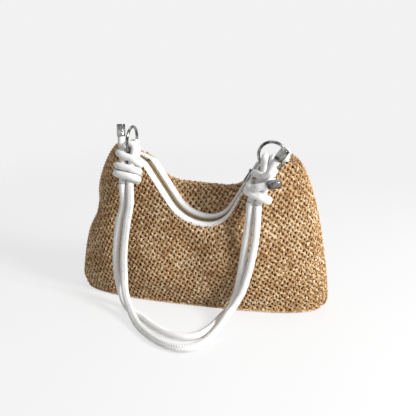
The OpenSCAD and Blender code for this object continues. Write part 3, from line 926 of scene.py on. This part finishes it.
def capProfile():
    # Distance along the cap and radius: mouth, a groove at each end, and a rounded top
    r, long, mouth, edge = cap["r"], cap["length"], cap["mouth"], cap["edge"]
    profile = [(cap["hollow"], mouth), (0.3 * mm, mouth), (0, mouth + 0.25 * mm), (0, r - 0.25 * mm),
               (0.25 * mm, r), (1.5 * mm, r), (1.75 * mm, r - 0.3 * mm), (2.3 * mm, r - 0.3 * mm),
               (2.55 * mm, r), (long - 3.4 * mm, r), (long - 3.15 * mm, r - 0.25 * mm),
               (long - 2.8 * mm, r - 0.25 * mm), (long - 2.55 * mm, r)]
    for v in np.linspace(0, math.pi / 2, 6):
        profile.append((long - edge * (1 - math.sin(v)), r - edge * (1 - math.cos(v))))
    return profile + [(long + cap["dome"], r * 0.5)]


def makeCap(name, points, node, bodyName, metal):
    base = np.array(points[-1]) * mm
    axis = unit(np.array(points[-1], float) - np.array(points[-2], float))
    made = addMesh(name, *lathe(capProfile(), base, axis), metal, "dark_metal", bodyName)
    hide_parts(node)


# Cord ends, in mm: the root is inside the knot and the last point is in the cap's mouth
tails = dict(
    left=dict(node="left_tail", cap="left_cap", body="bag", root=[(-101, -4, 210), (-104.5, -10, 214)],
              points=[(-106, -17, 221.5), (-107, -14, 232)]),
    rightUpper=dict(node="right_tail_upper", cap="right_cap_upper", body="handle",
                    root=[(92, -44, 199), (97, -53, 202)],
                    points=[(101, -59, 208), (105, -60, 218), (111, -60, 226)]),
    rightLower=dict(node="right_tail_lower", cap="right_cap_lower", body="handle",
                    root=[(80, -50, 184), (86.5, -58, 187.5)],
                    points=[(93.5, -59, 190), (100, -59.5, 192)]),
)
# The two cords' free lengths, in mm, from the left knot across the floor to the right knot
lying = 5.2
routes = dict(
    front=[(-84, -54, 151), (-88, -57, 127), (-92, -58, 101), (-94, -60, 76), (-93.5, -63, 53),
           (-91, -70, 39.5), (-87.5, -77, 28), (-78.5, -88, 16), (-68, -102, 8.5),
           (-53.5, -119, lying), (-34.5, -136.5, lying), (-17.5, -148, lying), (-3, -154, lying),
           (10.5, -156, lying), (22.5, -152, lying), (33, -142, lying), (41, -122, lying + 0.2),
           (48.5, -99, 9), (54, -84, 16), (60, -72, 22.5), (65.5, -66, 32), (71.5, -62, 45),
           (78.5, -59, 71), (82.5, -58, 93), (85.5, -57, 114), (87, -55, 140)],
    back=[(-95, -50, 149), (-100.5, -53, 125), (-105, -54, 98), (-107, -55, 73), (-106, -57, 48),
          (-103.5, -58, 32), (-99.5, -60, 17), (-91.5, -66, lying), (-76.5, -82, lying),
          (-58.5, -94.5, lying), (-42, -109, lying), (-25, -120.5, lying), (-10.5, -127, lying),
          (3.5, -130, lying), (16, -127.5, lying), (27, -119, lying), (36, -101.5, lying),
          (43.5, -76, 6), (49, -61, 8.5), (53.5, -53, 13), (57.5, -51.5, 24), (62.5, -52, 38.5),
          (67.5, -54, 68.5), (70.5, -54, 91), (73, -54, 112), (76, -52, 138)],
)
# Creases across the cords where they lie on the floor, and the seam and stitches of one of them
cordTrim = dict(ladderTop=14 * mm, rungFrom=10, rungTo=75, rungDrift=5, rungLift=0.12 * mm,
                rungThick=0.22 * mm, rungWide=0.38 * mm, seamSink=0.15 * mm,
                loopMiddle=(-0.01, -0.06, 0.11), stitchSlant=0.45, stitchLift=0.35 * mm,
                stitchLong=3.6 * mm, stitchWide=0.5 * mm, stitchThick=0.45 * mm)
seamSection = np.array([(-0.6, -1.1), (0.35, -0.75), (0.5, 0), (0.35, 0.75), (-0.6, 1.1)]) * mm


def cordCreases(path, side):
    low = path[path[:, 2] < cordTrim["ladderTop"]]
    _, n, b = facing(low, (0, -0.75, 0.65))
    reach = strap["cord"] + cordTrim["rungLift"]
    section = circle(cordTrim["rungThick"], cordTrim["rungWide"], 6)
    rungs = []
    for k in range(2, len(low) - 2):
        drift = rng.uniform(-cordTrim["rungDrift"], cordTrim["rungDrift"])
        arc = np.radians(np.linspace(cordTrim["rungFrom"], cordTrim["rungTo"], 6) + drift)
        rung = low[k] + reach * (np.cos(arc)[:, None] * b[k] * side + np.sin(arc)[:, None] * n[k])
        _, rn, rb = facing(rung, n[k])
        rungs.append(sweep(rung, rn, rb, section))
    return joinParts(rungs)


def cordSeam(path):
    # A raised seam with slanting stitches, on the side turned up and outwards
    hint = 0.55 * unit(np.array(cordTrim["loopMiddle"]) - path) + np.array([0.15, -0.85, 0.3])
    t, n, b = facing(path, hint)
    seam = path + n * (strap["cord"] - cordTrim["seamSink"])
    stitches = []
    for k in range(2, len(path) - 2, 2):
        slant = unit(b[k] + cordTrim["stitchSlant"] * t[k])
        root = seam[k] + n[k] * cordTrim["stitchLift"]
        stitches.append(capsule(root, slant, n[k], cordTrim["stitchLong"], cordTrim["stitchWide"],
                                cordTrim["stitchThick"]))
    return sweep(seam, n, b, seamSection), joinParts(stitches)


def makeCord(name, node, route, side, leather, thread):
    start = hung(leftRing, leftFrame, [(side * strap["pair"], 0, -strap["leftEnd"] - 1 * mm)])
    end = hung(rightHang, rightFrame, [(side * strap["pair"], 0, -strap["rightEnd"] - 1 * mm)])
    path = smoothPath(np.vstack([start, np.array(route) * mm, end]), strap["step"])
    verts, faces = leatherTube(path, strap["cord"], sides=20, creases=0.06, capped=False)
    made = addMesh(name, verts, faces, leather, "white_leather", "handle")
    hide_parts(node)
    creases = cordCreases(path, side)
    extra = [addMesh(name + "_creases", *creases, leather, "white_leather", "handle")]
    if thread:
        ridge, stitches = cordSeam(path)
        extra += [addMesh(name + "_seam", *ridge, leather, "white_leather", "handle"),
                  addMesh(name + "_stitches", *stitches, thread, "white_leather", "handle")]


def makeLoops(side, at, turn, bights, depths, leather):
    # Two cords over the ring's wire, and the standing pair inside the knot
    parts = []
    for hand, path in zip((-1, 1), bights):
        parts.append(leatherTube(path, strap["cord"], creases=0.10))
        line = [(hand * strap["inner"], 0, -d * mm) for d in depths]
        inner = smoothPath(hung(at, turn, line), strap["step"])
        parts.append(leatherTube(inner, strap["cord"], capped=False))
    made = addMesh(side + "_strap_loops", *joinParts(parts), leather, "white_leather", "handle")
    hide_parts(side + "_loops")


def makeKnot(side, at, turn, depthAt, start, leather):
    path = resample(hung(at, turn, wrapPath(depthAt, math.radians(start))), strap["step"])
    made = addMesh(side + "_knot", *leatherTube(path, strap["wrap"], creases=0.14),
                   leather, "white_leather", "handle")
    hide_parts(side + "_knot_upper", side + "_knot_lower")


def leftDepth(turn):
    # One turn that crosses the knot, then turns that lie side by side
    return (18 + 14 * eased(turn / 0.75) + 10.3 * max(0, turn - 0.75)) * mm


def rightDepth(turn):
    # An upper and a lower group of turns with a crossing between them
    return (12.2 + 1.8 * turn + 21.5 * eased((turn - 0.75) / 0.9)) * mm


def makeTail(name, tail, leather, metal):
    points = tail["points"]
    axis = unit(np.array(points[-1], float) - np.array(points[-2], float))
    line = np.array(tail["root"] + points, float) * mm
    line = smoothPath(np.vstack([line, line[-1] + axis * 6.5 * mm]), strap["step"])
    tube = leatherTube(line, strap["cord"] - 0.12 * mm, creases=0.08)
    made = addMesh(name + "_cord_end", *tube, leather, "white_leather", tail["body"])
    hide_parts(tail["node"])
    makeCap(name + "_end_cap", points, tail["cap"], tail["body"], metal)


def makeStrap(leather, metal, thread):
    print("strap")
    legEnd = -strap["leftUpper"] - 1 * mm
    bights = [hung(leftRing, leftFrame, bight(hand * strap["pair"], -strap["ring"], 4 * mm, legEnd,
                                              5.6 * mm, hand * 4.4 * mm, True)) for hand in (-1, 1)]
    makeLoops("left", leftRing, leftFrame, bights, (31, 38, 46, 54, 59), leather)
    upright = turned("z", swingYaw)
    bights = [hung(rightHang, upright, bight(hand * strap["pair"], 0, 7 * mm, -9 * mm,
                                             5.2 * mm, hand * 4.9 * mm, False)) for hand in (-1, 1)]
    makeLoops("right", rightHang, rightFrame, bights, (9, 16, 24, 32, 40, 49), leather)
    makeKnot("left", leftRing, leftFrame, leftDepth, 150, leather)
    makeKnot("right", rightHang, rightFrame, rightDepth, 75, leather)
    for name, tail in tails.items():
        makeTail(name, tail, leather, metal)
    makeCord("stitched_cord", "front_cord", routes["front"], 1, leather, thread)
    makeCord("smooth_cord", "back_cord", routes["back"], -1, leather, None)


# Leather tabs that hold the rings
# Points and widths in mm, from the seam of the corner to the ring and back; each direction lies across
# the strip at its point
tab = dict(thick=1.7 * mm, clear=0.5, wrap=(115, 70, 25, -25, -70, -115),
           leftTurn=math.radians(30), leftOut=(0.93, -0.33, 0.12),
           leftOver=[(-112.5, -1, 213), (-107, -3, 218), (-98, -6, 222.5)],
           leftUnder=[(-98, -6, 219.5), (-106, -2, 215.5), (-111, 0, 211)],
           leftAcross=[(0.5, 0.8, -0.1), (0.5, 0.8, 0), (0.3, 0.75, 0.5)],
           leftWide=[6, 8.5, 10.5], leftLoop=11,
           rightOut=(0.1, -1.0, 0), rightOver=(121.6, -24.8, 223.6), rightUnder=(118.6, -24.8, 223.6),
           rightRaise=2.5, rightEnd=8, rightLoop=17,
           rightOuter=[(119.8, -22.2, 223.5), (118.6, -14, 223.0), (115.9, -5, 220.5), (113.3, -1, 213)],
           rightInner=[(118.6, -22.2, 223.5), (117.4, -14, 223.0), (114.5, -4, 220.5), (111.5, 0.5, 212)],
           rightAcross=[(0, 0, 1), (0, 0, 1), (0.1, 0.4, 0.9), (0.5, 0.8, 0.2)], rightWide=[7, 7, 9, 7])


def strapSection(width, thick, count=5):
    half, edge = width / 2, thick / 2
    a = np.linspace(-math.pi / 2, math.pi / 2, count)
    right = [(edge * math.sin(v), half - edge + edge * math.cos(v)) for v in a]
    left = [(-x, -y) for x, y in right]
    return np.array(right + left)


def leatherStrip(points, widths, sizes):
    # Strip along the points; widths give the direction across it at each point
    p = np.asarray(points, float) * mm
    along = distances(p)
    fine = smoothPath(p, 0.9 * mm)
    where = np.linspace(0, along[-1], len(fine))
    w = np.stack([np.interp(where, along, np.asarray(widths, float)[:, k]) for k in range(3)], 1)
    size = np.interp(where, along, sizes)
    t = tangents(fine)
    w = unit(w - t * np.sum(w * t, axis=1, keepdims=True))
    n = np.cross(w, t)
    section = np.array([strapSection(s * mm, tab["thick"]) for s in size])
    return sweep(fine, n, w, section)


def wireLoop(at, outward, wire, lead, back):
    # Points of a strip that comes in over a wire, goes round it and leaves underneath
    outward = np.array(outward)
    r = (strap["wire"] + tab["thick"] / 2) / mm + tab["clear"]
    across = unit(np.cross(wire, outward))
    ring = [at + r * (outward * math.cos(v) + across * math.sin(v)) for v in np.radians(tab["wrap"])]
    return [np.array(q, float) for q in lead] + ring + [np.array(q, float) for q in back]


def makeLeftTab(leather):
    a = tab["leftTurn"]
    ring = strap["ring"] / mm
    at = leftRing / mm + np.array([0, ring * math.cos(a), -ring * math.sin(a)])
    wire = np.array([0, math.sin(a), math.cos(a)])
    points = wireLoop(at, tab["leftOut"], wire, tab["leftOver"], tab["leftUnder"])
    turns = len(tab["wrap"])
    widths = tab["leftAcross"] + [wire] * turns + tab["leftAcross"][::-1]
    sizes = tab["leftWide"] + [tab["leftLoop"]] * turns + tab["leftWide"][::-1]
    made = addMesh("left_ring_tab", *leatherStrip(points, widths, sizes), leather, "white_leather", "bag")
    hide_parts("left_tab")


def makeRightTab(leather):
    at = rightRing / mm + np.array([strap["ring"] / mm, 0, 0]) @ turned("z", swingYaw).T
    up = np.array([0, 0, 1.0])
    points = wireLoop(at, tab["rightOut"], up, [tab["rightOver"]], [tab["rightUnder"]])
    turns = len(tab["wrap"])
    points = [q + up * (tab["rightRaise"] if 0 < i <= turns else 0) for i, q in enumerate(points)]
    sizes = [tab["rightEnd"]] + [tab["rightLoop"]] * turns + [tab["rightEnd"]]
    strip = leatherStrip(points, [up] * len(points), sizes)
    made = addMesh("right_ring_loop", *strip, leather, "white_leather", "handle")
    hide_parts("right_tab_loop")
    parts = [leatherStrip(tab[layer], tab["rightAcross"], tab["rightWide"])
             for layer in ("rightOuter", "rightInner")]
    made = addMesh("right_ring_tab", *joinParts(parts), leather, "white_leather", "bag")
    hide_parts("right_tab")


def makeTabs(leather):
    print("tabs")
    makeLeftTab(leather)
    makeRightTab(leather)


def dressNodes(finishes):
    print("carried-over pieces")
    metal = ("zip_stop_left", "zip_stop_right", "zip_slider", "zip_pull", "left_ring", "right_ring")
    kept = {"base_board": "board", **{name: "dark_metal" for name in metal}}
    for name, slot in kept.items():
        mesh = nodes[name].data
        mesh.materials.clear()
        mesh.materials.append(finishes[slot])


setCamera()
setLamps()
setWorld()
setFloor()
finishes = dict(straw=strawFinish(), white_leather=leatherFinish(), dark_metal=metalFinish(),
                zip_tape=tapeFinish(), zip_teeth=teethFinish(), lining_cloth=liningFinish(),
                board=boardFinish())
thread = threadFinish()
makeBody(finishes["straw"])
makeLining(finishes["lining_cloth"])
makeZip(finishes["white_leather"], finishes["zip_tape"], finishes["zip_teeth"], thread)
makeStrap(finishes["white_leather"], finishes["dark_metal"], thread)
makeTabs(finishes["white_leather"])
dressNodes(finishes)
[[[float(c) for c in corner] for corner in box] for box in (cadBounds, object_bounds())]
